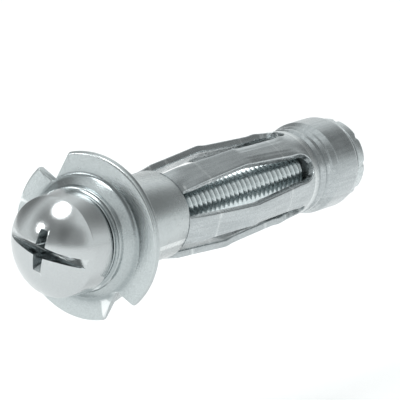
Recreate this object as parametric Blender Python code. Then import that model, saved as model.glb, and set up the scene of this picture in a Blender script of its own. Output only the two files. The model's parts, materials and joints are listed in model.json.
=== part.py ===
"""Collapsing-sleeve anchor for hollow walls, with its machine screw and nut.

The axis of the anchor is the Y axis. The flange's rear face lies in the plane y = 0,
the screw head is on the -Y side and the sleeve reaches into the wall along +Y. +Z is up.
The five legs fold outwards at the collar, at the knuckle and at the end ring, so each
leg is two rigid halves, and the end ring is five sectors that travel with the legs.
"""
import math

import bmesh
import bpy
from mathutils import Matrix, Vector

MM = 0.001
GAP = 0.3 * MM                      # clearance between neighbouring pieces
SEGMENTS = 60                       # facets round every turned shape

# Sheet and sleeve
SHEET = 0.9 * MM                    # wall of the pressed sleeve
COLLAR_R = 5.5 * MM
FLANGE_R = 10.2 * MM
FLANGE_THICK = 1.0 * MM
FLAT_INNER_R = 7.6 * MM             # the flat rim of the flange ends here
BOSS_R = 5.9 * MM                   # crest of the raised boss round the mouth
BOSS_RISE = 2.2 * MM                # from the flange's front plane to the crest
COLLAR_LENGTH = 13.0 * MM           # rear face of the flange to the collar fold
LEG_LENGTH = 14.1 * MM              # one half of a leg, fold to fold
KNUCKLE_BULGE = 0.95 * MM           # how far the legs stand out at mid-length
LEG_HALF_ANGLE = math.radians(19.5)
LEG_WAIST = 1.45 * MM                # half the width of a leg at its knuckle
LEG_COUNT = 5
FIRST_LEG_ANGLE = math.radians(56.0)

# End ring and nut
RING_R = 5.9 * MM
WAIST_LENGTH = 4.9 * MM             # ring fold to the thicker end
RING_END = 51.0 * MM
GROOVE_DEPTH = 0.3 * MM
GROOVE_OFFSETS = (1.6 * MM, 3.2 * MM)
GROOVE_HALF_WIDTH = 0.55 * MM
NUT_RIM_R = 5.3 * MM
NUT_RIM_THICK = 1.6 * MM
NUT_GROOVE = 0.9 * MM                # from the ring's end to the nut's rim
NUT_INSET = 0.9 * MM                 # from the ring fold to the nut's front face

# Screw
THREAD_R = 2.85 * MM                # mean of crest and root of the M6 thread
SCREW_TIP = 57.0 * MM
TIP_CHAMFER = 1.1 * MM
HEAD_R = 6.4 * MM                   # widest, at the underside
DOME_R = 6.1 * MM                   # where the side meets the dome
HEAD_SIDE = 3.4 * MM
HEAD_DOME = 2.8 * MM
HEAD_CLEARANCE = 1.0 * MM           # boss crest to the underside of the head, one turn out
SLOT_WIDTH = 1.1 * MM
SLOT_DEPTH = 2.2 * MM
CROSS_SPAN = 6.0 * MM
CROSS_WIDTH = 1.3 * MM
CROSS_DEPTH = 3.6 * MM
RECESS_ANGLE = math.radians(-14.0)

# Flange notches and teeth
NOTCH_STEEP_ANGLE = math.radians(-47.5)
NOTCH_APEX_ANGLE = math.radians(-53.6)
NOTCH_SLANT_ANGLE = math.radians(-77.0)
NOTCH_APEX_R = 7.5 * MM
TOOTH_LENGTH = 2.4 * MM
TOOTH_ROOT = 2.6 * MM
TOOTH_THICK = 0.9 * MM
TOOTH_INSET = 0.55 * MM             # how far the tooth stands in from the slanted side

# Places along the axis that follow from the lengths above
FLANGE_FRONT = -FLANGE_THICK
BOSS_CREST = FLANGE_FRONT - BOSS_RISE
KNUCKLE_Y = COLLAR_LENGTH + LEG_LENGTH
RING_FOLD_Y = KNUCKLE_Y + LEG_LENGTH
RING_START = RING_FOLD_Y + WAIST_LENGTH
HEAD_UNDERSIDE = BOSS_CREST - HEAD_CLEARANCE
HEAD_EDGE = HEAD_UNDERSIDE - HEAD_SIDE
HEAD_TOP = HEAD_EDGE - HEAD_DOME


def clear_scene():
    for item in list(bpy.data.objects):
        bpy.data.objects.remove(item, do_unlink=True)


def make_material(name, colour, roughness, metallic):
    material = bpy.data.materials.new(name)
    material.use_nodes = True
    shader = material.node_tree.nodes["Principled BSDF"]
    shader.inputs["Base Color"].default_value = (*colour, 1.0)
    shader.inputs["Roughness"].default_value = roughness
    shader.inputs["Metallic"].default_value = metallic
    return material


def add_object(name, mesh_data, material):
    """Turn a bmesh into a named, smooth-shaded object with one material."""
    bmesh.ops.recalc_face_normals(mesh_data, faces=mesh_data.faces)
    mesh = bpy.data.meshes.new(name)
    mesh_data.to_mesh(mesh)
    mesh_data.free()
    mesh.shade_smooth()
    mesh.set_sharp_from_angle(angle=math.radians(30.0))
    if material:
        mesh.materials.append(material)
    item = bpy.data.objects.new(name, mesh)
    bpy.context.scene.collection.objects.link(item)
    return item


def add_turned(name, profile, material, half_sweep=math.pi):
    """Spin a closed outline of (radius, y) points about the Y axis, centred on +X."""
    full = half_sweep >= math.pi
    steps = max(3, round(SEGMENTS * half_sweep / math.pi))
    shape = bmesh.new()
    start = Matrix.Rotation(half_sweep, 3, "Y")
    corners = [shape.verts.new(start @ Vector((radius, y, 0.0))) for radius, y in profile]
    count = len(corners)
    outline = [shape.edges.new((corners[i], corners[(i + 1) % count])) for i in range(count)]
    bmesh.ops.spin(shape, geom=corners + outline, cent=(0.0, 0.0, 0.0), axis=(0.0, 1.0, 0.0),
                   angle=-2.0 * half_sweep, steps=steps, use_merge=full)
    bmesh.ops.remove_doubles(shape, verts=shape.verts, dist=1e-7)
    if not full:
        bmesh.ops.holes_fill(shape, edges=shape.edges, sides=count)
    return add_object(name, shape, material)


def add_prism(name, outline, depth_low, depth_high, material=None):
    """Extrude a flat outline of (x, z) points along Y."""
    shape = bmesh.new()
    corners = [shape.verts.new((x, depth_low, z)) for x, z in outline]
    base = shape.faces.new(corners)
    grown = bmesh.ops.extrude_face_region(shape, geom=[base])
    moved = [part for part in grown["geom"] if isinstance(part, bmesh.types.BMVert)]
    bmesh.ops.translate(shape, verts=moved, vec=(0.0, depth_high - depth_low, 0.0))
    return add_object(name, shape, material)


def apply_boolean(target, tool, operation):
    """Boolean on target with the EXACT solver; the tool becomes a hidden guide."""
    step = target.modifiers.new(operation.title(), "BOOLEAN")
    step.operation = operation
    step.solver = "EXACT"
    step.object = tool
    tool.hide_render = True
    tool.display_type = "WIRE"


def polar(radius, angle):
    return Vector((radius * math.cos(angle), radius * math.sin(angle)))


def leg_angle(index):
    return FIRST_LEG_ANGLE + index * 2.0 * math.pi / LEG_COUNT


def smooth_step(value):
    value = min(max(value, 0.0), 1.0)
    return value * value * (3.0 - 2.0 * value)


def leg_section_point(across, distance, depth):
    """A point of a leg's cross-section, with the leg along +X.

    across runs from -1 to 1 over the width, distance is measured from the outer fold to the
    knuckle, and depth goes in from the outer surface. The section is part of the tube at
    the fold and flat at the knuckle.
    """
    share = distance / LEG_LENGTH
    flatness = smooth_step(share / 0.85)
    angle = across * LEG_HALF_ANGLE
    rise = KNUCKLE_BULGE * share
    tube = Vector(((COLLAR_R - depth) * math.cos(angle), (COLLAR_R - depth) * math.sin(angle)))
    flat = Vector((COLLAR_R - depth, across * LEG_WAIST))
    point = tube.lerp(flat, flatness)
    return point.x + rise, point.y


def add_leg_half(name, material, pivot_radius, pivot_y, toward_knuckle):
    """One rigid half of a leg, in the frame of its pivot.

    toward_knuckle is True for the front half, which starts at the collar fold, and False
    for the rear half, which starts at the knuckle and ends at the ring fold.
    """
    rows = 8
    columns = 8
    shape = bmesh.new()
    rings = []
    for row in range(rows + 1):
        along = 0.5 * GAP + (LEG_LENGTH - GAP) * row / rows
        distance = along if toward_knuckle else LEG_LENGTH - along
        start_y = COLLAR_LENGTH if toward_knuckle else KNUCKLE_Y
        ring = []
        for depth, order in ((0.0, 1), (SHEET, -1)):
            for column in range(columns + 1)[::order]:
                x, z = leg_section_point(2.0 * column / columns - 1.0, distance, depth)
                ring.append(shape.verts.new((x - pivot_radius, start_y + along - pivot_y, z)))
        rings.append(ring)
    for near, far in zip(rings, rings[1:]):
        for i in range(len(near)):
            j = (i + 1) % len(near)
            shape.faces.new((near[i], near[j], far[j], far[i]))
    shape.faces.new(rings[0])
    shape.faces.new(rings[-1])
    return add_object(name, shape, material)


def place_on_pivot(item, angle, pivot_radius, pivot_y):
    """Turn an item modelled along +X to its leg's angle and put its origin on the fold line."""
    item.rotation_euler = (0.0, -angle, 0.0)
    spot = polar(pivot_radius, angle)
    item.location = (spot.x, pivot_y, spot.y)


def flange_profile():
    """Section of flange, boss and collar: one sheet folded over at the mouth."""
    rise = BOSS_CREST - FLANGE_FRONT
    points = [(FLANGE_R, 0.0), (FLANGE_R, FLANGE_FRONT), (FLAT_INNER_R, FLANGE_FRONT)]
    steps = 5
    for i in range(1, steps + 1):
        turn = 0.5 * math.pi * i / steps
        radius = FLAT_INNER_R - (FLAT_INNER_R - BOSS_R) * math.sin(turn)
        points.append((radius, FLANGE_FRONT + 0.85 * rise * (1.0 - math.cos(turn))))
    bore = COLLAR_R - SHEET
    points += [(BOSS_R - 0.3 * MM, BOSS_CREST), (bore + 0.4 * MM, BOSS_CREST), (bore, BOSS_CREST + 0.4 * MM)]
    collar_end = COLLAR_LENGTH - 0.5 * GAP
    points += [(bore, collar_end), (COLLAR_R, collar_end)]
    points += [(COLLAR_R, FLANGE_FRONT - 0.6 * MM), (COLLAR_R + 0.25 * MM, FLANGE_FRONT - 0.6 * MM)]
    points += [(FLAT_INNER_R - 0.8 * MM, 0.0)]
    return points


def build_flange(material):
    """Root piece: flange with two notches, two teeth bent back, boss and collar."""
    flange = add_turned("flange_and_collar", flange_profile(), material)
    beyond = FLANGE_R * 1.3
    for side, turn in enumerate((0.0, math.pi)):
        steep = polar(FLANGE_R, NOTCH_STEEP_ANGLE + turn)
        apex = polar(NOTCH_APEX_R, NOTCH_APEX_ANGLE + turn)
        slant = polar(FLANGE_R, NOTCH_SLANT_ANGLE + turn)
        outline = [apex, apex + (steep - apex) * 2.0, polar(beyond * 1.2, NOTCH_APEX_ANGLE + turn),
                   apex + (slant - apex) * 1.6]
        notch = add_prism(f"notch_cutter_{side + 1}", outline, FLANGE_FRONT - GAP, GAP)
        apply_boolean(flange, notch, "DIFFERENCE")
        add_tooth(flange, f"tooth_former_{side + 1}", apex, slant)


def add_tooth(flange, name, apex, slant):
    """A pointed tooth bent back from the slanted side of a notch, joined to the flange."""
    along = (slant - apex).normalized()
    inward = -Vector((-along.y, along.x))
    if inward.dot(apex) > 0.0:
        inward = -inward
    root = apex + along * 0.6 * MM + inward * TOOTH_INSET
    shape = bmesh.new()
    outline = ((0.0, FLANGE_FRONT * 0.5), (TOOTH_ROOT, FLANGE_FRONT * 0.5), (TOOTH_ROOT * 0.55, TOOTH_LENGTH),
               (TOOTH_ROOT * 0.3, TOOTH_LENGTH))
    corners = []
    for run, y in outline:
        spot = root + along * run
        corners.append(shape.verts.new((spot.x, y, spot.y)))
    base = shape.faces.new(corners)
    grown = bmesh.ops.extrude_face_region(shape, geom=[base])
    moved = [part for part in grown["geom"] if isinstance(part, bmesh.types.BMVert)]
    step = inward * TOOTH_THICK
    bmesh.ops.translate(shape, verts=moved, vec=(step.x, 0.0, step.y))
    apply_boolean(flange, add_object(name, shape, None), "UNION")


def build_legs(material):
    inner_r = COLLAR_R + KNUCKLE_BULGE - SHEET
    for index in range(LEG_COUNT):
        angle = leg_angle(index)
        front = add_leg_half(f"leg_{index + 1}_front", material, COLLAR_R, COLLAR_LENGTH, True)
        place_on_pivot(front, angle, COLLAR_R, COLLAR_LENGTH)
        rear = add_leg_half(f"leg_{index + 1}_rear", material, inner_r, KNUCKLE_Y, False)
        place_on_pivot(rear, angle, inner_r, KNUCKLE_Y)


def ring_profile():
    """Section of the end ring: waist with two crimp grooves, then the thicker end."""
    outer = [(COLLAR_R, RING_FOLD_Y + 0.5 * GAP)]
    for offset in GROOVE_OFFSETS:
        middle = RING_FOLD_Y + offset
        outer.append((COLLAR_R, middle - GROOVE_HALF_WIDTH))
        outer.append((COLLAR_R - GROOVE_DEPTH, middle))
        outer.append((COLLAR_R, middle + GROOVE_HALF_WIDTH))
    outer += [(RING_R, RING_START), (RING_R, RING_END - 0.3 * MM), (RING_R - 0.3 * MM, RING_END)]
    inner = [(RING_R - SHEET, RING_END), (RING_R - SHEET, RING_START + 0.2 * MM)]
    inner += [(COLLAR_R - SHEET, RING_START - 0.4 * MM), (COLLAR_R - SHEET, RING_FOLD_Y + 0.5 * GAP)]
    return outer + inner


def build_end_ring(material):
    """Five sectors of the end ring, each in the frame of its ring fold."""
    half_sweep = math.pi / LEG_COUNT - 0.5 * GAP / COLLAR_R
    profile = [(radius, y - RING_FOLD_Y) for radius, y in ring_profile()]
    for index in range(LEG_COUNT):
        sector = add_turned(f"end_ring_{index + 1}", profile, material, half_sweep)
        sector.data.transform(Matrix.Translation((-COLLAR_R, 0.0, 0.0)))
        place_on_pivot(sector, leg_angle(index), COLLAR_R, RING_FOLD_Y)


def build_nut(material):
    """Nut inside the end ring, with a rim behind it, turned about the anchor's axis."""
    bore = THREAD_R + GAP
    body_r = RING_R - SHEET - GAP
    neck_r = COLLAR_R - SHEET - GAP
    neck_end = RING_START - 0.5 * MM
    nut_start = RING_FOLD_Y + NUT_INSET
    groove_end = RING_END + NUT_GROOVE
    rim_end = groove_end + NUT_RIM_THICK
    profile = [(bore, nut_start), (bore, rim_end), (NUT_RIM_R - 0.3 * MM, rim_end),
               (NUT_RIM_R, rim_end - 0.3 * MM), (NUT_RIM_R, groove_end), (body_r, groove_end),
               (body_r, neck_end + 0.8 * MM), (neck_r, neck_end), (neck_r, nut_start)]
    add_turned("nut", profile, material)


def screw_profile():
    """Outline of the screw from the middle of its dome to the middle of its tip."""
    dome_ball = (DOME_R ** 2 + HEAD_DOME ** 2) / (2.0 * HEAD_DOME)
    points = []
    for share in (0.004, 0.2, 0.4, 0.6, 0.8, 0.92, 1.0):
        radius = DOME_R * share
        points.append((radius, HEAD_TOP + dome_ball - math.sqrt(dome_ball ** 2 - radius ** 2)))
    points += [(HEAD_R, HEAD_UNDERSIDE - 0.2 * MM), (HEAD_R - 0.2 * MM, HEAD_UNDERSIDE)]
    points += [(THREAD_R, HEAD_UNDERSIDE), (THREAD_R, SCREW_TIP - TIP_CHAMFER)]
    points += [(THREAD_R - 0.65 * MM, SCREW_TIP), (0.02 * MM, SCREW_TIP)]
    return points


def build_screw(material):
    """Pan-head machine screw with a driver slot and a cross recess in its dome."""
    shape = bmesh.new()
    corners = [shape.verts.new((radius, y, 0.0)) for radius, y in screw_profile()]
    outline = [shape.edges.new(pair) for pair in zip(corners, corners[1:])]
    bmesh.ops.spin(shape, geom=corners + outline, cent=(0.0, 0.0, 0.0), axis=(0.0, 1.0, 0.0),
                   angle=2.0 * math.pi, steps=SEGMENTS, use_merge=True)
    bmesh.ops.remove_doubles(shape, verts=shape.verts, dist=1e-7)
    bmesh.ops.holes_fill(shape, edges=shape.edges, sides=SEGMENTS)
    screw = add_object("screw", shape, material)
    front = HEAD_TOP - 1.0 * MM
    cuts = (("slot_cutter", HEAD_R * 2.2, SLOT_WIDTH, HEAD_TOP + SLOT_DEPTH, 0.0),
            ("cross_cutter_1", CROSS_SPAN, CROSS_WIDTH, HEAD_TOP + CROSS_DEPTH, 0.0),
            ("cross_cutter_2", CROSS_SPAN, CROSS_WIDTH, HEAD_TOP + CROSS_DEPTH, 0.5 * math.pi))
    for name, span, width, floor, turn in cuts:
        half, side = span * 0.5, width * 0.5
        outline = [(-half, -side), (half, -side), (half, side), (-half, side)]
        tool = add_prism(name, outline, front, floor)
        tool.rotation_euler = (0.0, -(RECESS_ANGLE + turn), 0.0)
        apply_boolean(screw, tool, "DIFFERENCE")


def main():
    clear_scene()
    zinc = make_material("zinc_plated_sheet", (0.52, 0.56, 0.58), 0.32, 1.0)
    nut_steel = make_material("zinc_plated_nut", (0.48, 0.52, 0.55), 0.35, 1.0)
    screw_steel = make_material("bright_zinc_screw", (0.58, 0.60, 0.61), 0.22, 1.0)
    build_flange(zinc)
    build_legs(zinc)
    build_end_ring(zinc)
    build_nut(nut_steel)
    build_screw(screw_steel)


main()
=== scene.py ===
"""Collapsing-sleeve wall anchor: sleeve, legs, end ring, nut and machine screw, in bright zinc.

The anchor's axis is the Y axis, the flange's rear face lies at y = 0 and the screw head is on
the -Y side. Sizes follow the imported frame, so each piece lies where its rigid stand-in is.
"""
import json
import math

import bpy
from mathutils import Matrix, Vector


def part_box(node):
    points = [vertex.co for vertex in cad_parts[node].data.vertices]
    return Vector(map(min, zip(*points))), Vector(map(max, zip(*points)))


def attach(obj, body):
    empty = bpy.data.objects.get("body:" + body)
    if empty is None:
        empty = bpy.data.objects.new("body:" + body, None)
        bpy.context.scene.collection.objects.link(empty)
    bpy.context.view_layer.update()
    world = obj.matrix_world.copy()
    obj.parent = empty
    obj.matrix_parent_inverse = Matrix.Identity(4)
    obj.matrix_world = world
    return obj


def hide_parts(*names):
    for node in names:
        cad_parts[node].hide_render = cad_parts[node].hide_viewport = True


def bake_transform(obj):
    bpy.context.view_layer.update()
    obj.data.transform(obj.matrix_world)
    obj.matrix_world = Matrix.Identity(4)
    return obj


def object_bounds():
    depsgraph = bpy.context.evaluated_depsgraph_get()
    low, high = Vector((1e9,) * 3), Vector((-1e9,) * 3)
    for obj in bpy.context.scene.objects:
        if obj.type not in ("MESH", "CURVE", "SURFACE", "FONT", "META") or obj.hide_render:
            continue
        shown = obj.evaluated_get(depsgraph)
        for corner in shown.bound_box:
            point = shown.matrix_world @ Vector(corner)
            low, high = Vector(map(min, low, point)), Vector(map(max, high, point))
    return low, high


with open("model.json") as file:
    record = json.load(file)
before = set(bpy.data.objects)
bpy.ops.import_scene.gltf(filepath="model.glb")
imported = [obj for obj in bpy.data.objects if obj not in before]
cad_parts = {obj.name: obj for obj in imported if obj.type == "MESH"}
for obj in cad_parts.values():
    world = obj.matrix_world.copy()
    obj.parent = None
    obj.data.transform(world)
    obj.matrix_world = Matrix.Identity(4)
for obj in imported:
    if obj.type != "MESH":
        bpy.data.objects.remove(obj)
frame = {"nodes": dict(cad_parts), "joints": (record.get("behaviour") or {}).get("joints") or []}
cad_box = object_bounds()

bl_info = {
    "name": "Hollow Wall Anchor",
    "version": (1, 0, 0),
    "blender": (4, 5, 0),
    "location": "View3D > Sidebar > Anchor",
    "description": "Models a collapsing-sleeve wall anchor with its screw and its zinc finishes",
    "category": "Object",
}

MM = 0.001
LEG_COUNT = sum(1 for name in frame["nodes"] if name.startswith("end_ring_"))
ALL_RINGS = [f"end_ring_{number + 1}" for number in range(LEG_COUNT)]


def joint_place(name):
    """Radius, place along the axis and angle about it of one of the frame's joints."""
    for joint in frame["joints"]:
        if joint["name"] == name:
            x, y, z = joint["pos_m"]
            return math.hypot(x, z), y, math.atan2(z, x)
    raise RuntimeError(f"the frame has no joint named {name}")


COLLAR_FOLD_R, COLLAR_FOLD_Y, FIRST_LEG_ANGLE = joint_place("leg_1_collar_fold")
KNUCKLE_FOLD_R, KNUCKLE_FOLD_Y, _ = joint_place("leg_1_knuckle_fold")
RING_FOLD_R, RING_FOLD_Y, _ = joint_place("leg_1_ring_fold")
FLANGE_LOW, FLANGE_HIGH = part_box("flange_and_collar")
SCREW_LOW, SCREW_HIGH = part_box("screw")
NUT_LOW, NUT_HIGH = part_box("nut")
RING_END_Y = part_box("end_ring_1")[1].y


def length_property(name, description, default):
    return bpy.props.FloatProperty(name=name, description=description, default=default,
                                   min=0.0, precision=5, unit="LENGTH")


def angle_property(name, description, degrees):
    return bpy.props.FloatProperty(name=name, description=description,
                                   default=math.radians(degrees), unit="ROTATION")


def colour_property(name, description, default):
    return bpy.props.FloatVectorProperty(name=name, description=description, default=default,
                                         size=3, min=0.0, max=1.0, subtype="COLOR")


class AnchorSleeveSettings(bpy.types.PropertyGroup):
    """Sizes of the pressed sleeve: flange, boss, collar, legs and end ring."""
    sheet: length_property("Sheet", "Thickness of the sleeve's steel sheet", 0.9 * MM)
    flange_radius: length_property("Flange radius", "Outer radius of the flange", FLANGE_HIGH.x)
    flange_thickness: length_property("Flange thickness", "Thickness of the flat rim", 1.0 * MM)
    dish_radius: length_property("Dish radius", "Where the flat rim turns up to the boss", 7.5 * MM)
    boss_radius: length_property("Boss radius", "Outside of the boss below its crest", 5.95 * MM)
    boss_crest: length_property("Boss crest", "Crest of the boss, in front of the wall",
                                0.2 * MM - FLANGE_LOW.y)
    collar_radius: length_property("Collar radius", "Outer radius of collar and waist",
                                   COLLAR_FOLD_R)
    steep_side: angle_property("Notch, steep side", "Where the steep side meets the rim", -47.5)
    notch_bottom: angle_property("Notch, bottom", "Angle of the notch's bottom", -53.6)
    slant_side: angle_property("Notch, slanted side", "Where the slanted side meets the rim", -77.0)
    notch_radius: length_property("Notch radius", "Radius that the notch reaches in to", 7.5 * MM)
    tooth_length: length_property("Tooth length", "How far a tooth reaches into the wall", 2.4 * MM)
    leg_angle: angle_property("Leg half angle", "Half of the angle that a leg spans", 19.5)
    leg_waist: length_property("Leg waist", "Half the width of a leg at its knuckle", 1.45 * MM)
    crease_inset: length_property("Crease inset", "Slot edge to the crease beside it", 0.8 * MM)
    ring_radius: length_property("Ring radius", "Outer radius of the end ring", 5.9 * MM)
    waist_length: length_property("Waist", "Ring fold to the wider end of the ring", 4.9 * MM)
    groove_depth: length_property("Groove depth", "Depth of the crimp grooves", 0.32 * MM)


class AnchorNutSettings(bpy.types.PropertyGroup):
    """Sizes of the nut in the end ring."""
    bore_radius: length_property("Bore", "Radius of the nut's hole", 3.1 * MM)
    rim_radius: length_property("Rim radius", "Radius of the rim behind the ring", NUT_HIGH.x)
    rim_thickness: length_property("Rim thickness", "Thickness of the rim", 1.6 * MM)
    stake_depth: length_property("Stake depth", "Depth of the punch marks", 0.22 * MM)
    stakes: bpy.props.IntProperty(name="Stakes", description="Punch marks round the rim",
                                  default=9, min=1, max=24)


class AnchorScrewSettings(bpy.types.PropertyGroup):
    """Sizes of the machine screw."""
    head_radius: length_property("Head radius", "Widest radius of the head", SCREW_HIGH.x)
    head_height: length_property("Head height", "Underside to the top of the dome", 6.2 * MM)
    dome_radius: length_property("Dome radius", "Radius of the dome's edge", 6.1 * MM)
    dome_rise: length_property("Dome rise", "Height of the dome", 2.8 * MM)
    crest_radius: length_property("Thread crest", "Outer radius of the thread", 2.97 * MM)
    root_radius: length_property("Thread root", "Inner radius of the thread", 2.4 * MM)
    pitch: length_property("Pitch", "Advance of the thread in one turn", 1.0 * MM)
    slot_width: length_property("Slot width", "Width of the driver slot", 1.1 * MM)
    slot_depth: length_property("Slot depth", "Depth of the driver slot", 2.2 * MM)
    cross_span: length_property("Cross span", "Tip to tip of the cross recess", 6.0 * MM)
    cross_depth: length_property("Cross depth", "Depth of the cross recess", 3.6 * MM)
    recess_angle: angle_property("Recess angle", "Turn of the slot about the axis", -14.0)


class AnchorFinishSettings(bpy.types.PropertyGroup):
    """Colours of the zinc finishes."""
    sheet_light: colour_property("Sheet, light", "Light grains of the sleeve's plating",
                                 (0.54, 0.575, 0.585))
    sheet_dark: colour_property("Sheet, dark", "Dark grains of the sleeve's plating",
                                (0.35, 0.38, 0.39))
    nut_light: colour_property("Nut, light", "Light grains of the nut's plating",
                               (0.66, 0.70, 0.71))
    nut_dark: colour_property("Nut, dark", "Dark grains of the nut's plating",
                              (0.42, 0.46, 0.465))
    screw_light: colour_property("Screw, light", "Light tone of the screw's plating",
                                 (0.54, 0.565, 0.57))
    screw_dark: colour_property("Screw, dark", "Dark tone of the screw's plating",
                                (0.44, 0.465, 0.47))
    flange_light: colour_property("Flange, light", "Light grains of the flange's plating",
                                  (0.54, 0.58, 0.585))
    flange_dark: colour_property("Flange, dark", "Dark grains of the flange's plating",
                                 (0.39, 0.425, 0.43))
    # Painted light: both thread tones are lighter than the head's plating, to make up for the legs' shade
    # over the thread.
    thread_light: colour_property("Thread, light", "Light tone of the oiled thread",
                                  (0.80, 0.86, 0.87))
    thread_dark: colour_property("Thread, dark", "Dark tone of the oiled thread",
                                 (0.46, 0.53, 0.54))
    # Painted highlight in part: this light edge colour also stands in for the bright highlight lines along
    # rims and crests.
    worn: colour_property("Worn edge", "Edges rubbed bright", (0.90, 0.93, 0.93))
    # Besides oil and dust in grooves, this colour is the painted shade in shut-in places.
    grime: colour_property("Grime", "Oil and dust left in grooves", (0.08, 0.11, 0.12))


class AnchorStageSettings(bpy.types.PropertyGroup):
    """Camera, floor and light."""
    azimuth: angle_property("Azimuth", "Camera's turn about Z, from the -Y side towards +X", 34.0)
    elevation: angle_property("Elevation", "Camera's height angle", 12.4)
    distance: length_property("Distance", "Camera to the middle of the anchor", 0.5)
    lens: bpy.props.FloatProperty(name="Lens", description="Focal length in millimetres",
                                  default=365.0, min=20.0)
    floor_drop: length_property("Floor drop", "Floor below the anchor's axis", 0.030)
    floor_colour: colour_property("Floor colour", "Colour of the floor", (0.96, 0.965, 0.965))
    floor_glow: bpy.props.FloatProperty(name="Floor glow", description="Light of the light table",
                                        default=0.3, min=0.0)


def select_only(item):
    bpy.ops.object.select_all(action="DESELECT")
    item.select_set(True)
    bpy.context.view_layer.objects.active = item


def edit_all(item):
    """Open an item in edit mode with everything selected."""
    select_only(item)
    bpy.ops.object.mode_set(mode="EDIT")
    bpy.ops.mesh.select_mode(type="VERT")
    bpy.ops.mesh.select_all(action="SELECT")


def close_edit(merge_distance=0.001 * MM):
    """Merge doubled points, turn the faces outwards and leave edit mode."""
    bpy.ops.mesh.select_all(action="SELECT")
    bpy.ops.mesh.remove_doubles(threshold=merge_distance)
    bpy.ops.mesh.normals_make_consistent(inside=False)
    bpy.ops.object.mode_set(mode="OBJECT")


def apply_step(item, kind, **values):
    """Give an item a modifier with these values and apply it."""
    select_only(item)
    step = item.modifiers.new(kind.title(), kind)
    for key, value in values.items():
        setattr(step, key, value)
    bpy.ops.object.modifier_apply(modifier=step.name)


def cut_with(item, tool, operation="DIFFERENCE"):
    apply_step(item, "BOOLEAN", operation=operation, solver="EXACT", object=tool)
    bpy.data.objects.remove(tool, do_unlink=True)
    edit_all(item)
    close_edit()


def soften_edges(item, width, segments=2, from_angle=math.radians(38.0)):
    apply_step(item, "BEVEL", width=width, segments=segments, limit_method="ANGLE",
               angle_limit=from_angle, miter_outer="MITER_ARC")


def smooth_faces(item, angle=math.radians(32.0)):
    select_only(item)
    bpy.ops.object.shade_smooth_by_angle(angle=angle)


def polar(radius, angle):
    return Vector((radius * math.cos(angle), radius * math.sin(angle)))


def smooth_step(value):
    value = min(max(value, 0.0), 1.0)
    return value * value * (3.0 - 2.0 * value)


def rounded(corners, steps=4):
    """Closed outline of (radius, y, fillet) corners, with each fillet drawn as an arc."""
    points = []
    count = len(corners)
    for index, (radius, y, fillet) in enumerate(corners):
        here = Vector((radius, y))
        if fillet <= 0.0:
            points.append(here)
            continue
        before = Vector(corners[index - 1][:2]) - here
        after = Vector(corners[(index + 1) % count][:2]) - here
        half = 0.5 * before.angle(after)
        reach = min(fillet / math.tan(half), 0.48 * before.length, 0.48 * after.length)
        start = here + before.normalized() * reach
        end = here + after.normalized() * reach
        for step in range(steps + 1):
            share = step / steps
            points.append(start.lerp(here, share).lerp(here.lerp(end, share), share))
    return points


def turn_outline(name, points, steps=128):
    """Spin a closed outline of (radius, y) points about the anchor's axis."""
    bpy.ops.object.select_all(action="DESELECT")
    bpy.ops.mesh.primitive_circle_add(vertices=len(points), radius=10.0 * MM)
    item = bpy.context.object
    item.name = name
    for corner, (radius, y) in zip(item.data.vertices, points):
        corner.co = (radius, y, 0.0)
    edit_all(item)
    bpy.ops.mesh.spin(steps=steps, angle=2.0 * math.pi, center=(0.0, 0.0, 0.0), axis=(0.0, 1.0, 0.0))
    close_edit()
    return item


def raise_prism(name, outline, low, high):
    """Fill a flat outline of (x, z) points at y = low and extrude it along the axis to high."""
    bpy.ops.object.select_all(action="DESELECT")
    bpy.ops.mesh.primitive_circle_add(vertices=len(outline), radius=10.0 * MM, fill_type="NGON")
    item = bpy.context.object
    item.name = name
    for corner, (x, z) in zip(item.data.vertices, outline):
        corner.co = (x, low, z)
    edit_all(item)
    bpy.ops.mesh.extrude_region_move(TRANSFORM_OT_translate={"value": (0.0, high - low, 0.0)})
    close_edit()
    return item


def sweep_sections(name, sections):
    """Closed bar through cross-sections that have as many points each, capped at both ends."""
    rows = len(sections)
    columns = len(sections[0])
    bpy.ops.object.select_all(action="DESELECT")
    bpy.ops.mesh.primitive_grid_add(x_subdivisions=columns, y_subdivisions=rows - 1, size=10.0 * MM)
    item = bpy.context.object
    item.name = name
    for corner in item.data.vertices:
        row, column = divmod(corner.index, columns + 1)
        corner.co = sections[row][column % columns]
    edit_all(item)
    bpy.ops.mesh.remove_doubles(threshold=0.001 * MM)
    bpy.ops.mesh.fill_holes(sides=0)
    close_edit()
    return item


def copy_turned(item, name, angle):
    """A copy with its own mesh, turned about the anchor's axis."""
    select_only(item)
    bpy.ops.object.duplicate(linked=False)
    copy = bpy.context.object
    copy.name = name
    copy.data.transform(Matrix.Rotation(-angle, 4, "Y"))
    return copy


def finish_piece(item, material, replaced):
    """Give a piece its material and hide the nodes that it stands for."""
    item.data.materials.clear()
    item.data.materials.append(material)
    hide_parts(*replaced)


def need_settings(name):
    settings = getattr(bpy.context.scene, name, None)
    if settings is None:
        raise RuntimeError(f"the scene has no {name}: register the classes first")
    return settings


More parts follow.
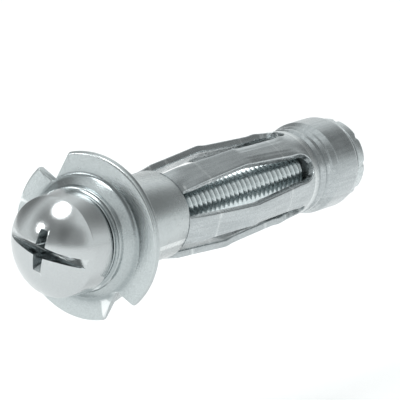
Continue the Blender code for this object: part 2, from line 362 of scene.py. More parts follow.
class OBJECT_OT_anchor_flange(bpy.types.Operator):
    """Press the flange with its notches and teeth, the boss and the collar"""
    bl_idname = "object.anchor_flange"
    bl_label = "Flange and Collar"

    def outline(self, sleeve):
        front = -sleeve.flange_thickness
        crest = -sleeve.boss_crest
        outside = sleeve.collar_radius
        bore = outside - sleeve.sheet
        wide = sleeve.boss_radius + 0.42 * MM
        return rounded([
            (sleeve.flange_radius, 0.0, 0.3 * MM),
            (sleeve.flange_radius, front, 0.35 * MM),
            (sleeve.dish_radius, front, 0.9 * MM),
            (wide + 0.12 * MM, crest + 1.15 * MM, 0.5 * MM),
            (wide, crest + 0.62 * MM, 0.16 * MM),
            (wide - 0.22 * MM, crest + 0.55 * MM, 0.04 * MM),
            (sleeve.boss_radius, crest + 0.4 * MM, 0.04 * MM),
            (sleeve.boss_radius, crest, 0.25 * MM),
            (bore, crest, 0.35 * MM),
            (bore, COLLAR_FOLD_Y, 0.0),
            (outside, COLLAR_FOLD_Y, 0.0),
            (outside, front - 0.5 * MM, 0.2 * MM),
            (outside + 0.25 * MM, front - 0.6 * MM, 0.1 * MM),
            (sleeve.dish_radius - 0.7 * MM, 0.0, 0.5 * MM),
        ])

    def notch_corners(self, sleeve, turn):
        steep = polar(sleeve.flange_radius, sleeve.steep_side + turn)
        bottom = polar(sleeve.notch_radius, sleeve.notch_bottom + turn)
        slant = polar(sleeve.flange_radius, sleeve.slant_side + turn)
        return steep, bottom, slant

    def cut_notch(self, flange, sleeve, number, turn):
        steep, bottom, slant = self.notch_corners(sleeve, turn)
        beyond = polar(sleeve.flange_radius * 1.6, sleeve.notch_bottom + turn)
        to_steep = (steep - bottom).normalized()
        to_slant = (slant - bottom).normalized()
        corner = 0.35 * MM
        outline = [bottom + to_steep * corner, bottom + (steep - bottom) * 2.2, beyond,
                   bottom + (slant - bottom) * 1.8, bottom + to_slant * corner,
                   bottom + (to_steep + to_slant) * 0.28 * corner]
        tool = raise_prism(f"notch_tool_{number}", outline, -2.0 * sleeve.flange_thickness,
                           sleeve.flange_thickness)
        cut_with(flange, tool)

    def join_tooth(self, flange, sleeve, number, turn):
        """Bend a pointed tooth back from the slanted side of a notch."""
        _, bottom, slant = self.notch_corners(sleeve, turn)
        along = (slant - bottom).normalized()
        inward = Vector((-along.y, along.x))
        if inward.dot(bottom) > 0.0:
            inward.negate()
        root = bottom + along * 0.5 * MM + inward * 0.45 * MM
        base = -0.55 * sleeve.flange_thickness
        outline = [(0.0, base), (2.7 * MM, base), (1.75 * MM, 0.62 * sleeve.tooth_length),
                   (1.35 * MM, sleeve.tooth_length), (0.85 * MM, sleeve.tooth_length),
                   (0.35 * MM, 0.45 * sleeve.tooth_length)]
        thick = 0.9 * sleeve.sheet
        tooth = raise_prism(f"tooth_{number}", outline, 0.0, thick)
        for corner in tooth.data.vertices:
            spot = root + along * corner.co.x + inward * corner.co.y
            corner.co = (spot.x, corner.co.z, spot.y)
        edit_all(tooth)
        close_edit()
        cut_with(flange, tooth, "UNION")

    def execute(self, context):
        sleeve = need_settings("anchor_sleeve")
        flange = turn_outline("flange_pressing", self.outline(sleeve), steps=144)
        for number, turn in enumerate((0.0, math.pi)):
            self.cut_notch(flange, sleeve, number + 1, turn)
            self.join_tooth(flange, sleeve, number + 1, turn)
        soften_edges(flange, 0.09 * MM, from_angle=math.radians(50.0))
        smooth_faces(flange)
        finish_piece(flange, flange_zinc(), ["flange_and_collar"])
        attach(flange, "sleeve_front")
        return {"FINISHED"}


class OBJECT_OT_anchor_legs(bpy.types.Operator):
    """Draw the folding legs, each as a collar bend, a knuckle and a ring bend"""
    bl_idname = "object.anchor_legs"
    bl_label = "Folding Legs"

    edge_round = 0.16 * MM
    root_fillet = 0.35 * MM
    fold_zone = 2.4 * MM
    groove_half_width = 0.15 * MM
    groove_depth = 0.055 * MM

    def half_width(self, sleeve, y):
        """Half the width of a leg, along the surface, at a place on the axis."""
        sector = sleeve.collar_radius * math.pi / LEG_COUNT
        root = sleeve.collar_radius * sleeve.leg_angle
        slot = sector - root
        leg_length = KNUCKLE_FOLD_Y - COLLAR_FOLD_Y
        soft = 1.2 * MM
        share = min((math.hypot(y - KNUCKLE_FOLD_Y, soft) - soft) / (leg_length - soft), 1.0)
        width = sleeve.leg_waist + (root - sleeve.leg_waist) * share ** 1.4
        near_root = y - COLLAR_FOLD_Y
        if near_root < self.root_fillet:
            rest = self.root_fillet - near_root
            width += self.root_fillet - math.sqrt(self.root_fillet ** 2 - rest ** 2)
        past_slot = y - (RING_FOLD_Y - slot)
        if past_slot > 0.0:
            width = sector - math.sqrt(max(slot * slot - past_slot * past_slot, 0.0))
        return width

    def flatness(self, y):
        """0 where a leg is part of the tube, 1 where it is a flat strip."""
        from_fold = min(y - COLLAR_FOLD_Y, RING_FOLD_Y - y)
        return smooth_step(from_fold / (3.2 * MM))

    def crease(self, y):
        """Depth of the bend beside the slot edges of the rear half, 0 to 1."""
        past_knuckle = y - KNUCKLE_FOLD_Y + 0.6 * MM
        fade_out = RING_FOLD_Y - 2.4 * MM - y
        return smooth_step(past_knuckle / (2.0 * MM)) * smooth_step(fade_out / (2.0 * MM))

    def rise(self, y):
        """How far the outer surface stands out from the collar's, rounded at the knuckle."""
        leg_length = KNUCKLE_FOLD_Y - COLLAR_FOLD_Y
        bulge = KNUCKLE_FOLD_R + self.sheet - COLLAR_FOLD_R
        soft = 0.35 * MM
        run = math.hypot(y - KNUCKLE_FOLD_Y, soft) - soft
        return bulge * max(1.0 - run / leg_length, 0.0)

    def section(self, sleeve, y):
        """Cross-section of the leg along +X: outer face, rounded edge, inner face, edge."""
        half = self.half_width(sleeve, y)
        edge = half - self.edge_round
        crease = half - sleeve.crease_inset
        groove = self.groove_half_width
        stations = [share * (crease - groove) for share in (0.0, 0.25, 0.5, 0.75, 1.0)]
        stations += [crease, crease + groove, 0.5 * (crease + groove + edge), edge]
        flat_run = [-station for station in stations[:0:-1]] + stations
        corner = self.edge_round
        arc = [math.radians(turn) for turn in (22.5, 45.0, 67.5, 90.0)]
        path = [(across, 0.0) for across in flat_run]
        path += [(edge + corner * math.sin(turn), corner * (1.0 - math.cos(turn))) for turn in arc]
        path += [(across, sleeve.sheet - depth) for across, depth in path[:len(flat_run) - 1:-1]]
        path += [(-across, sleeve.sheet) for across in flat_run]
        path += [(-across, depth) for across, depth in path[len(flat_run) + 7:len(flat_run) - 1:-1]]
        points = []
        flat = self.flatness(y)
        pressed = self.crease(y)
        bend = math.tan(math.radians(13.0)) * pressed
        for across, depth in path:
            radius = sleeve.collar_radius - depth - bend * max(abs(across) - crease, 0.0)
            if depth == 0.0 and abs(abs(across) - crease) < 0.5 * groove:
                radius -= self.groove_depth * pressed
            turn = across / sleeve.collar_radius
            tube = polar(radius, turn)
            point = tube.lerp(Vector((radius, across)), flat)
            points.append((point.x + self.rise(y), y, point.y))
        return points

    def stations_along(self, start, end):
        """Places along the axis: close together in the folds and the slot ends."""
        places = []
        y = start
        while y < end - 0.01 * MM:
            places.append(y)
            near_fold = min(abs(y - fold) for fold in (COLLAR_FOLD_Y, KNUCKLE_FOLD_Y, RING_FOLD_Y))
            step = 0.16 * MM if near_fold < self.fold_zone else 0.5 * MM
            if near_fold < 0.36 * MM:
                step = 0.06 * MM
            y += step
        places.append(end)
        return places

    def execute(self, context):
        sleeve = need_settings("anchor_sleeve")
        self.sheet = sleeve.sheet
        front_seam = COLLAR_FOLD_Y + 6.0 * MM
        rear_seam = RING_FOLD_Y - 6.0 * MM
        half_zone = 0.5 * self.fold_zone
        spans = (
            ("collar_bend", COLLAR_FOLD_Y, front_seam, "sleeve_front", "leg_{0}_front",
             COLLAR_FOLD_Y, COLLAR_FOLD_Y + self.fold_zone, ("leg_{0}_front",)),
            ("knuckle", front_seam, rear_seam, "leg_{0}_front", "leg_{0}_rear",
             KNUCKLE_FOLD_Y - half_zone, KNUCKLE_FOLD_Y + half_zone, ("leg_{0}_front", "leg_{0}_rear")),
            ("ring_bend", rear_seam, RING_FOLD_Y, "leg_{0}_rear", "foot_{0}",
             RING_FOLD_Y - self.fold_zone, RING_FOLD_Y, ("leg_{0}_rear",)),
        )
        material = sheet_zinc()
        for part, start, end, near_body, far_body, zone_start, zone_end, replaced in spans:
            sections = [self.section(sleeve, y) for y in self.stations_along(start, end)]
            pattern = sweep_sections(f"{part}_pattern", sections)
            smooth_faces(pattern)
            for index in range(LEG_COUNT):
                number = index + 1
                angle = FIRST_LEG_ANGLE + index * 2.0 * math.pi / LEG_COUNT
                leg = copy_turned(pattern, f"leg_{number}_{part}", angle)
                finish_piece(leg, material, [name.format(number) for name in replaced])
                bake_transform(leg)
            bpy.data.objects.remove(pattern, do_unlink=True)
        return {"FINISHED"}


class OBJECT_OT_anchor_end_ring(bpy.types.Operator):
    """Turn the end ring with its waist and its crimp grooves"""
    bl_idname = "object.anchor_end_ring"
    bl_label = "End Ring"

    def execute(self, context):
        sleeve = need_settings("anchor_sleeve")
        waist = sleeve.collar_radius
        ring = sleeve.ring_radius
        inside = waist - sleeve.sheet
        wide_start = RING_FOLD_Y + sleeve.waist_length
        corners = [(waist, RING_FOLD_Y, 0.0)]
        for middle in (RING_FOLD_Y + 1.6 * MM, RING_FOLD_Y + 3.2 * MM):
            corners.append((waist, middle - 0.55 * MM, 0.3 * MM))
            corners.append((waist - sleeve.groove_depth, middle, 0.3 * MM))
            corners.append((waist, middle + 0.55 * MM, 0.3 * MM))
        corners += [
            (waist + 0.05 * MM, wide_start - 0.75 * MM, 0.6 * MM),
            (ring, wide_start + 0.15 * MM, 0.8 * MM),
            (ring, RING_END_Y - 0.5 * MM, 0.8 * MM),
            (ring - 0.12 * MM, RING_END_Y, 0.18 * MM),
            (ring - sleeve.sheet, RING_END_Y, 0.15 * MM),
            (ring - sleeve.sheet, wide_start + 0.3 * MM, 0.4 * MM),
            (inside, wide_start - 0.7 * MM, 0.4 * MM),
            (inside, RING_FOLD_Y, 0.0),
        ]
        item = turn_outline("end_ring", rounded(corners, steps=5), steps=144)
        smooth_faces(item)
        finish_piece(item, sheet_zinc(), ALL_RINGS)
        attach(item, "foot_1")
        return {"FINISHED"}


class OBJECT_OT_anchor_nut(bpy.types.Operator):
    """Turn the nut and punch the stakes round its rim"""
    bl_idname = "object.anchor_nut"
    bl_label = "Nut"

    def punch_stakes(self, item, nut, rim_end):
        """Press small dents into the rear edge of the rim, evenly round it."""
        spacing = 2.0 * math.pi / nut.stakes
        reach = math.radians(6.0)
        for corner in item.data.vertices:
            radius = math.hypot(corner.co.x, corner.co.z)
            turn = math.atan2(corner.co.z, corner.co.x) / spacing
            off = abs(turn - round(turn)) * spacing
            if off > reach or radius < nut.rim_radius - 0.5 * MM:
                continue
            if corner.co.y < rim_end - 0.6 * nut.rim_thickness:
                continue
            depth = nut.stake_depth * smooth_step(1.0 - off / reach)
            corner.co.x *= 1.0 - depth / radius
            corner.co.z *= 1.0 - depth / radius

    def execute(self, context):
        nut = need_settings("anchor_nut")
        sleeve = need_settings("anchor_sleeve")
        body = sleeve.ring_radius - sleeve.sheet - 0.2 * MM
        neck = sleeve.collar_radius - sleeve.sheet - 0.2 * MM
        neck_end = RING_FOLD_Y + sleeve.waist_length - 0.4 * MM
        rim_end = NUT_HIGH.y
        rim_start = rim_end - nut.rim_thickness
        corners = [
            (nut.bore_radius, NUT_LOW.y, 0.0),
            (nut.bore_radius, rim_end - 0.35 * MM, 0.0),
            (nut.bore_radius + 0.4 * MM, rim_end, 0.1 * MM),
            (nut.rim_radius, rim_end, 0.32 * MM),
            (nut.rim_radius, rim_start, 0.2 * MM),
            (body, rim_start, 0.15 * MM),
            (body, neck_end + 0.8 * MM, 0.2 * MM),
            (neck, neck_end, 0.2 * MM),
            (neck, NUT_LOW.y, 0.2 * MM),
        ]
        item = turn_outline("threaded_nut", rounded(corners), steps=144)
        self.punch_stakes(item, nut, rim_end)
        smooth_faces(item)
        finish_piece(item, nut_zinc(), ["nut"])
        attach(item, "foot_1")
        return {"FINISHED"}


class OBJECT_OT_anchor_screw(bpy.types.Operator):
    """Form the screw's head with slot and cross recess, and roll its thread"""
    bl_idname = "object.anchor_screw"
    bl_label = "Machine Screw"

    def recess_tool(self, screw, top):
        """Cross-shaped punch whose arms narrow towards its tip."""
        half = 0.5 * screw.cross_span
        arm = 0.56 * screw.slot_width
        outline = []
        for quarter in range(4):
            turn = screw.recess_angle + quarter * 0.5 * math.pi
            for x, z in ((half, -arm), (half, arm), (arm + 0.12 * MM, arm + 0.12 * MM)):
                spot = polar(math.hypot(x, z), turn + math.atan2(z, x))
                outline.append((spot.x, spot.y))
        tool = raise_prism("cross_punch", outline, top - 0.4 * MM, top + screw.cross_depth)
        for corner in tool.data.vertices:
            if corner.co.y > top:
                corner.co.x *= 0.42
                corner.co.z *= 0.42
        return tool

    def slot_tool(self, screw, top):
        half = screw.head_radius * 0.98
        side = 0.5 * screw.slot_width
        outline = []
        for x, z in ((-half, -side), (half, -side), (half, side), (-half, side)):
            spot = polar(math.hypot(x, z), screw.recess_angle + math.atan2(z, x))
            outline.append((spot.x, spot.y))
        return raise_prism("slot_punch", outline, top - 1.0 * MM, top + screw.slot_depth)

    def head(self, screw):
        top = SCREW_LOW.y
        underside = top + screw.head_height
        wide = screw.head_radius
        edge = screw.dome_radius
        ball = (edge ** 2 + screw.dome_rise ** 2) / (2.0 * screw.dome_rise)
        corners = [(0.004 * MM, top, 0.0)]
        for share in range(1, 16):
            radius = edge * share / 16.0
            corners.append((radius, top + ball - math.sqrt(ball ** 2 - radius ** 2), 0.0))
        corners += [
            (edge, top + screw.dome_rise, 0.16 * MM),
            (wide, underside - 0.35 * MM, 0.4 * MM),
            (wide - 0.12 * MM, underside, 0.16 * MM),
            (screw.root_radius, underside, 0.0),
            (screw.root_radius, underside + 1.0 * MM, 0.0),
            (0.004 * MM, underside + 1.0 * MM, 0.0),
        ]
        item = turn_outline("screw_head", rounded(corners, steps=6), steps=144)
        edit_all(item)
        bpy.ops.mesh.select_all(action="SELECT")
        bpy.ops.mesh.remove_doubles(threshold=0.009 * MM)
        bpy.ops.object.mode_set(mode="OBJECT")
        cut_with(item, self.slot_tool(screw, top))
        cut_with(item, self.recess_tool(screw, top))
        soften_edges(item, 0.07 * MM, from_angle=math.radians(40.0))
        smooth_faces(item)
        return item

    def thread(self, screw):
        """One pitch of the thread's outline, wound along the axis and cut off at both ends."""
        start = SCREW_LOW.y + screw.head_height + 0.2 * MM
        end = SCREW_HIGH.y
        crest, root, pitch = screw.crest_radius, screw.root_radius, screw.pitch
        first = start - 2.013 * pitch
        turns = math.ceil((end - first) / pitch) + 2
        marks = ((root, 0.0), (root, 0.12), (crest - 0.05 * MM, 0.42), (crest, 0.5),
                 (crest - 0.05 * MM, 0.58), (root, 0.88), (root, 1.0))
        bpy.ops.object.select_all(action="DESELECT")
        bpy.ops.mesh.primitive_grid_add(x_subdivisions=len(marks) - 1, y_subdivisions=1, size=MM)
        item = bpy.context.object
        item.name = "screw_thread"
        edit_all(item)
        bpy.ops.mesh.delete(type="ONLY_FACE")
        bpy.ops.mesh.select_all(action="DESELECT")
        bpy.ops.object.mode_set(mode="OBJECT")
        for corner in item.data.vertices:
            corner.select = corner.index >= len(marks)
        bpy.ops.object.mode_set(mode="EDIT")
        bpy.ops.mesh.delete(type="VERT")
        bpy.ops.object.mode_set(mode="OBJECT")
        for corner, (radius, share) in zip(item.data.vertices, marks):
            corner.co = (radius, first + share * pitch, 0.0)
        apply_step(item, "SCREW", axis="Y", screw_offset=pitch, iterations=turns, steps=48,
                   render_steps=48, use_merge_vertices=True, merge_threshold=0.001 * MM)
        for place, clear_outer, clear_inner in ((start, False, True), (end, True, False)):
            edit_all(item)
            bpy.ops.mesh.bisect(plane_co=(0.0, place, 0.0), plane_no=(0.0, 1.0, 0.0),
                                clear_outer=clear_outer, clear_inner=clear_inner,
                                threshold=0.0001 * MM)
            close_edit()
        edit_all(item)
        bpy.ops.mesh.fill_holes(sides=0)
        close_edit()
        for corner in item.data.vertices:
            radius = math.hypot(corner.co.x, corner.co.z)
            limit = 2.15 * MM + (end - corner.co.y) * 0.75
            if radius > limit:
                corner.co.x *= limit / radius
                corner.co.z *= limit / radius
        edit_all(item)
        close_edit()
        smooth_faces(item, math.radians(40.0))
        return item

    def execute(self, context):
        screw = need_settings("anchor_screw")
        for item, material in ((self.head(screw), screw_zinc()), (self.thread(screw), thread_zinc())):
            finish_piece(item, material, ["screw"])
            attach(item, "screw")
        return {"FINISHED"}


def new_group(name, inputs, outputs):
    """Empty shader node group with named sockets; returns the tree and its two end nodes."""
    group = bpy.data.node_groups.new(name, "ShaderNodeTree")
    for label, default in inputs:
        socket = group.interface.new_socket(label, in_out="INPUT", socket_type="NodeSocketFloat")
        socket.default_value = default
    for label in outputs:
        group.interface.new_socket(label, in_out="OUTPUT", socket_type="NodeSocketFloat")
    return group, group.nodes.new("NodeGroupInput"), group.nodes.new("NodeGroupOutput")


def add_node(tree, kind, links=(), **values):
    """Add a node, set its own values, and link (input name, output socket) pairs into it."""
    node = tree.nodes.new(kind)
    for key, value in values.items():
        setattr(node, key, value)
    for target, source in links:
        if hasattr(source, "is_output"):
            tree.links.new(source, node.inputs[target])
        else:
            node.inputs[target].default_value = source
    return node


def math_node(tree, operation, first, second, clamp=False):
    node = add_node(tree, "ShaderNodeMath", [(0, first), (1, second)], operation=operation)
    node.use_clamp = clamp
    return node.outputs[0]


def map_range(tree, value, low, high, to_low=0.0, to_high=1.0):
    links = [("Value", value), ("From Min", low), ("From Max", high),
             ("To Min", to_low), ("To Max", to_high)]
    return add_node(tree, "ShaderNodeMapRange", links).outputs["Result"]


def piece_coordinates(tree, scale=(1.0, 1.0, 1.0)):
    """Object coordinates, stretched by a Mapping node."""
    place = add_node(tree, "ShaderNodeTexCoord")
    links = [("Vector", place.outputs["Object"]), ("Scale", scale)]
    return add_node(tree, "ShaderNodeMapping", links).outputs["Vector"]


def zinc_grain_group():
    """Crystalline sparkle of zinc plating: coarse spangle broken up by fine grain."""
    name = "zinc_grain"
    if name in bpy.data.node_groups:
        return bpy.data.node_groups[name]
    group, inside, outside = new_group(name, [("Scale", 4000.0), ("Contrast", 0.5)],
                                       ["Tone", "Height"])
    place = piece_coordinates(group)
    coarse = add_node(group, "ShaderNodeTexNoise",
                      [("Vector", place), ("Scale", inside.outputs["Scale"]), ("Detail", 3.0),
                       ("Roughness", 0.65)])
    fine_scale = math_node(group, "MULTIPLY", inside.outputs["Scale"], 2.7)
    cells = add_node(group, "ShaderNodeTexVoronoi", [("Vector", place), ("Scale", fine_scale)])
    mixed = math_node(group, "ADD", math_node(group, "MULTIPLY", coarse.outputs["Fac"], 0.8),
                      math_node(group, "MULTIPLY", cells.outputs["Distance"], 0.3))
    centred = math_node(group, "SUBTRACT", mixed, 0.5)
    gain = math_node(group, "MULTIPLY", inside.outputs["Contrast"], 6.0)
    tone = math_node(group, "ADD", math_node(group, "MULTIPLY", centred, gain), 0.5, clamp=True)
    group.links.new(tone, outside.inputs["Tone"])
    group.links.new(mixed, outside.inputs["Height"])
    return group


def drawing_lines_group():
    """Faint lines that drawing and handling leave along the anchor's axis."""
    name = "drawing_lines"
    if name in bpy.data.node_groups:
        return bpy.data.node_groups[name]
    group, inside, outside = new_group(name, [("Scale", 2500.0)], ["Mask"])
    place = piece_coordinates(group, scale=(1.0, 0.05, 1.0))
    lines = add_node(group, "ShaderNodeTexNoise",
                     [("Vector", place), ("Scale", inside.outputs["Scale"]), ("Detail", 2.0),
                      ("Roughness", 0.55)])
    mask = map_range(group, lines.outputs["Fac"], 0.42, 0.62)
    group.links.new(mask, outside.inputs["Mask"])
    return group


def handling_group():
    """Soft blotches of duller plating, and small rubbed spots."""
    name = "handling_marks"
    if name in bpy.data.node_groups:
        return bpy.data.node_groups[name]
    group, inside, outside = new_group(name, [("Scale", 260.0)], ["Dulling", "Spots"])
    place = piece_coordinates(group)
    cloud = add_node(group, "ShaderNodeTexNoise",
                     [("Vector", place), ("Scale", inside.outputs["Scale"]), ("Detail", 4.0),
                      ("Roughness", 0.6)])
    group.links.new(map_range(group, cloud.outputs["Fac"], 0.35, 0.7), outside.inputs["Dulling"])
    spot_scale = math_node(group, "MULTIPLY", inside.outputs["Scale"], 4.5)
    spots = add_node(group, "ShaderNodeTexNoise",
                     [("Vector", place), ("Scale", spot_scale), ("Detail", 2.0)])
    group.links.new(map_range(group, spots.outputs["Fac"], 0.6, 0.72), outside.inputs["Spots"])
    return group


def edge_group():
    """Masks for convex edges, lightened both for wear and as painted highlight lines, and for hollows that
    hold grime.
    """
    name = "edges_and_hollows"
    if name in bpy.data.node_groups:
        return bpy.data.node_groups[name]
    group, inside, outside = new_group(name, [("Edge", 0.6), ("Corner", 0.46)], ["Worn", "Hollow"])
    bend = add_node(group, "ShaderNodeNewGeometry").outputs["Pointiness"]
    worn = map_range(group, bend, 0.53, inside.outputs["Edge"])
    hollow = map_range(group, bend, 0.498, inside.outputs["Corner"])
    group.links.new(worn, outside.inputs["Worn"])
    group.links.new(hollow, outside.inputs["Hollow"])
    return group


def recess_group():
    """Mask for painted shade: ambient occlusion finds the places that their neighbours shut in, and the
    base colour is darkened there.
    """
    name = "shut_in_places"
    if name in bpy.data.node_groups:
        return bpy.data.node_groups[name]
    group, inside, outside = new_group(name, [("Reach", 2.5 * MM)], ["Mask"])
    near = add_node(group, "ShaderNodeAmbientOcclusion",
                    [("Distance", inside.outputs["Reach"])], samples=8)
    group.links.new(map_range(group, near.outputs["AO"], 0.9, 0.3), outside.inputs["Mask"])
    return group


def use_group(tree, group, **inputs):
    node = add_node(tree, "ShaderNodeGroup")
    node.node_tree = group
    for label, value in inputs.items():
        node.inputs[label.replace("_", " ").title()].default_value = value
    return node


def mix_colour(tree, share, first, second):
    node = tree.nodes.new("ShaderNodeMix")
    node.data_type = "RGBA"
    for target, source in ((0, share), (6, first), (7, second)):
        if hasattr(source, "is_output"):
            tree.links.new(source, node.inputs[target])
        elif target == 0:
            node.inputs[target].default_value = source
        else:
            node.inputs[target].default_value = (*source, 1.0)
    return node.outputs[2]


def zinc_material(name, light, dark, grain_scale, contrast, roughness, grain_height, line_share,
                  wear_and_highlight_share, grime_share, painted_shade_share, reach=2.5 * MM):
    """Zinc plating: grain and drawing lines in tone and roughness, grime in the hollows, convex edges
    lightened for wear and as painted highlights, and painted shade in shut-in places.
    """
    if name in bpy.data.materials:
        return bpy.data.materials[name]
    finish = need_settings("anchor_finish")
    material = bpy.data.materials.new(name)
    material.use_nodes = True
    tree = material.node_tree
    shader = tree.nodes["Principled BSDF"]
    shader.inputs["Metallic"].default_value = 1.0
    grain = use_group(tree, zinc_grain_group(), scale=grain_scale, contrast=contrast)
    lines = use_group(tree, drawing_lines_group(), scale=2500.0)
    marks = use_group(tree, handling_group(), scale=260.0)
    edges = use_group(tree, edge_group(), edge=0.6, corner=0.46)
    # Painted shade mask, from ambient occlusion.
    recess = use_group(tree, recess_group(), reach=reach)
    plated = mix_colour(tree, grain.outputs["Tone"], tuple(dark), tuple(light))
    lined = mix_colour(tree, math_node(tree, "MULTIPLY", lines.outputs["Mask"], line_share),
                       plated, tuple(dark))
    # Convex edges lightened: partly rubbed wear, partly painted highlight.
    worn = mix_colour(tree, math_node(tree, "MULTIPLY", edges.outputs["Worn"], wear_and_highlight_share), lined,
                      tuple(finish.worn))
    grimy = mix_colour(tree, math_node(tree, "MULTIPLY", edges.outputs["Hollow"], grime_share),
                       worn, tuple(finish.grime))
    # Painted shade: the ambient-occlusion mask darkens the base colour towards the grime colour in shut-in
    # places.
    shaded = mix_colour(tree, math_node(tree, "MULTIPLY", recess.outputs["Mask"], painted_shade_share),
                        grimy, tuple(finish.grime))
    tree.links.new(shaded, shader.inputs["Base Color"])
    low, high = roughness
    rough = map_range(tree, marks.outputs["Dulling"], 0.0, 1.0, low, high)
    speckle = math_node(tree, "MULTIPLY", math_node(tree, "SUBTRACT", 1.0, grain.outputs["Tone"]),
                        0.35 * (high - low) + 0.04)
    spotted = math_node(tree, "ADD", rough, speckle)
    rough_sum = math_node(tree, "ADD", spotted, math_node(tree, "MULTIPLY", marks.outputs["Spots"],
                                                          0.06), clamp=True)
    tree.links.new(rough_sum, shader.inputs["Roughness"])
    relief = math_node(tree, "ADD", grain.outputs["Height"],
                       math_node(tree, "MULTIPLY", lines.outputs["Mask"], 0.25 * line_share))
    bump = add_node(tree, "ShaderNodeBump",
                    [("Height", relief), ("Strength", 1.0), ("Distance", grain_height)])
    tree.links.new(bump.outputs["Normal"], shader.inputs["Normal"])
    return material


def flange_zinc():
    """Coarse-grained, sparkling plating of the stamped flange."""
    finish = need_settings("anchor_finish")
    # The flange has the strongest painted shade, reaching 5 mm, which darkens the dish beside the boss.
    return zinc_material("flange_plating", finish.flange_light, finish.flange_dark, 5200.0, 0.35,
                         (0.14, 0.24), 0.01 * MM, 0.15, 0.8, 0.9, 1.0, reach=5.0 * MM)


def sheet_zinc():
    """Satin plating of the drawn legs and end ring."""
    finish = need_settings("anchor_finish")
    return zinc_material("sheet_plating", finish.sheet_light, finish.sheet_dark, 5200.0, 0.4,
                         (0.2, 0.3), 0.006 * MM, 0.5, 0.6, 0.4, 0.75)


def nut_zinc():
    """Plating over the turned surface of the nut."""
    finish = need_settings("anchor_finish")
    return zinc_material("nut_plating", finish.nut_light, finish.nut_dark, 4200.0, 0.6,
                         (0.2, 0.34), 0.012 * MM, 0.2, 0.3, 0.7, 0.5)


def screw_zinc():
    """Smooth bright plating of the cold-formed screw."""
    finish = need_settings("anchor_finish")
    return zinc_material("screw_plating", finish.screw_light, finish.screw_dark, 6000.0, 0.3,
                         (0.1, 0.17), 0.003 * MM, 0.1, 0.2, 0.3, 0.2)


def thread_zinc():
    """Oiled plating of the rolled thread, its tones painted lighter than the head's to make up for the
    shade of the legs around it.
    """
    finish = need_settings("anchor_finish")
    return zinc_material("thread_plating", finish.thread_light, finish.thread_dark, 6000.0, 0.3,
                         (0.14, 0.22), 0.003 * MM, 0.1, 0.5, 0.7, 0.25)


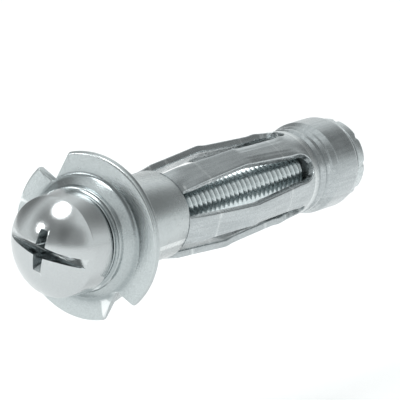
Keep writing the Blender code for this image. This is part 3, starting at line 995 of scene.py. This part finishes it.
class SCENE_OT_anchor_stage(bpy.types.Operator):
    """Set the pale floor, the light tent and the camera"""
    bl_idname = "scene.anchor_stage"
    bl_label = "Stage"

    TENT_LEVEL = 1.0
    # azimuth, elevation, full within, gone by, brightness
    CARDS = (
        (160.0, 26.0, 15.0, 32.0, 0.28),
        (24.0, 12.0, 16.0, 30.0, 0.45),
        (-20.0, 30.0, 20.0, 45.0, 0.35),
        (95.0, 34.0, 14.0, 34.0, 0.3),
        (-110.0, 25.0, 16.0, 38.0, 0.3),
    )

    def floor(self, stage):
        bpy.ops.object.select_all(action="DESELECT")
        bpy.ops.mesh.primitive_plane_add(size=6.0, location=(0.0, 0.0, 0.0))
        item = bpy.context.object
        item.name = "floor"
        item.data.transform(Matrix.Translation((0.0, 0.0, -stage.floor_drop)))
        material = bpy.data.materials.new("pale_floor")
        material.use_nodes = True
        shader = material.node_tree.nodes["Principled BSDF"]
        shader.inputs["Base Color"].default_value = (*stage.floor_colour, 1.0)
        shader.inputs["Roughness"].default_value = 0.9
        shader.inputs["Specular IOR Level"].default_value = 0.1
        shader.inputs["Emission Color"].default_value = (*stage.floor_colour, 1.0)
        shader.inputs["Emission Strength"].default_value = stage.floor_glow
        item.data.materials.append(material)

    def card(self, tree, direction, azimuth, elevation, full_within, gone_by, value):
        """A soft-edged patch of the tent: returns the factor that it dims or lifts the light by."""
        turn = math.radians(azimuth)
        tilt = math.radians(elevation)
        centre = (math.sin(turn) * math.cos(tilt), -math.cos(turn) * math.cos(tilt), math.sin(tilt))
        facing = add_node(tree, "ShaderNodeVectorMath", [(0, direction), (1, centre)],
                          operation="DOT_PRODUCT").outputs["Value"]
        return map_range(tree, facing, math.cos(math.radians(gone_by)),
                         math.cos(math.radians(full_within)), 1.0, value)

    def tent(self):
        """World light of a pale tent with a few dark cards, which the metal mirrors."""
        world = bpy.data.worlds.new("light_tent")
        bpy.context.scene.world = world
        world.use_nodes = True
        tree = world.node_tree
        direction = add_node(tree, "ShaderNodeTexCoord").outputs["Generated"]
        light = self.TENT_LEVEL
        for card in self.CARDS:
            light = math_node(tree, "MULTIPLY", light, self.card(tree, direction, *card))
        tint = add_node(tree, "ShaderNodeCombineColor", [("Red", math_node(tree, "MULTIPLY", light, 0.97)),
                                                         ("Green", light), ("Blue", light)])
        tree.links.new(tint.outputs["Color"], tree.nodes["Background"].inputs["Color"])

    def area(self, name, azimuth, elevation, distance, size, power):
        """Soft box at an azimuth and elevation about the anchor, aimed at it."""
        bpy.ops.object.select_all(action="DESELECT")
        turn = math.radians(azimuth)
        tilt = math.radians(elevation)
        aim = self.middle
        away = Vector((math.sin(turn) * math.cos(tilt), -math.cos(turn) * math.cos(tilt),
                       math.sin(tilt)))
        bpy.ops.object.light_add(type="AREA", location=aim + away * distance)
        light = bpy.context.object
        light.name = name
        light.rotation_euler = away.to_track_quat("Z", "Y").to_euler()
        light.data.shape = "ELLIPSE"
        light.data.size, light.data.size_y = size
        light.data.energy = power

    def execute(self, context):
        stage = need_settings("anchor_stage")
        low, high = cad_box
        self.middle = 0.5 * (Vector(low) + Vector(high))
        self.floor(stage)
        self.tent()
        self.area("overhead_box", -14.0, 54.0, 0.5, (0.24, 0.22), 0.8)
        self.area("left_box", -36.0, 18.0, 0.5, (0.1, 0.1), 0.22)
        self.area("right_box", 86.0, 6.0, 0.5, (0.04, 0.16), 0.04)
        bpy.ops.object.select_all(action="DESELECT")
        turn, tilt = stage.azimuth, stage.elevation
        away = Vector((math.sin(turn) * math.cos(tilt), -math.cos(turn) * math.cos(tilt),
                       math.sin(tilt)))
        bpy.ops.object.camera_add(location=self.middle + away * stage.distance)
        camera = bpy.context.object
        camera.name = "camera"
        camera.rotation_euler = away.to_track_quat("Z", "Y").to_euler()
        camera.data.sensor_width = 36.0
        camera.data.lens = stage.lens
        camera.data.clip_start = 0.01
        context.scene.camera = camera
        context.scene.view_settings.view_transform = "Standard"
        return {"FINISHED"}


class VIEW3D_PT_anchor(bpy.types.Panel):
    """Sidebar panel that lists the anchor's settings and operators"""
    bl_idname = "VIEW3D_PT_anchor"
    bl_label = "Hollow Wall Anchor"
    bl_space_type = "VIEW_3D"
    bl_region_type = "UI"
    bl_category = "Anchor"

    def draw(self, context):
        for name in SETTINGS:
            settings = getattr(context.scene, name)
            box = self.layout.box()
            for key in settings.__annotations__:
                box.prop(settings, key)
        for step in STEPS:
            self.layout.operator(step.bl_idname)


SETTINGS = {
    "anchor_sleeve": AnchorSleeveSettings,
    "anchor_nut": AnchorNutSettings,
    "anchor_screw": AnchorScrewSettings,
    "anchor_finish": AnchorFinishSettings,
    "anchor_stage": AnchorStageSettings,
}
STEPS = (
    OBJECT_OT_anchor_flange,
    OBJECT_OT_anchor_legs,
    OBJECT_OT_anchor_end_ring,
    OBJECT_OT_anchor_nut,
    OBJECT_OT_anchor_screw,
    SCENE_OT_anchor_stage,
)


def register():
    for name, settings in SETTINGS.items():
        bpy.utils.register_class(settings)
        setattr(bpy.types.Scene, name, bpy.props.PointerProperty(type=settings))
    for step in STEPS:
        bpy.utils.register_class(step)
    bpy.utils.register_class(VIEW3D_PT_anchor)


def unregister():
    bpy.utils.unregister_class(VIEW3D_PT_anchor)
    for step in reversed(STEPS):
        bpy.utils.unregister_class(step)
    for name, settings in SETTINGS.items():
        delattr(bpy.types.Scene, name)
        bpy.utils.unregister_class(settings)


def main():
    register()
    for step in STEPS:
        group, action = step.bl_idname.split(".")
        getattr(getattr(bpy.ops, group), action)()


if __name__ == "__main__":
    main()
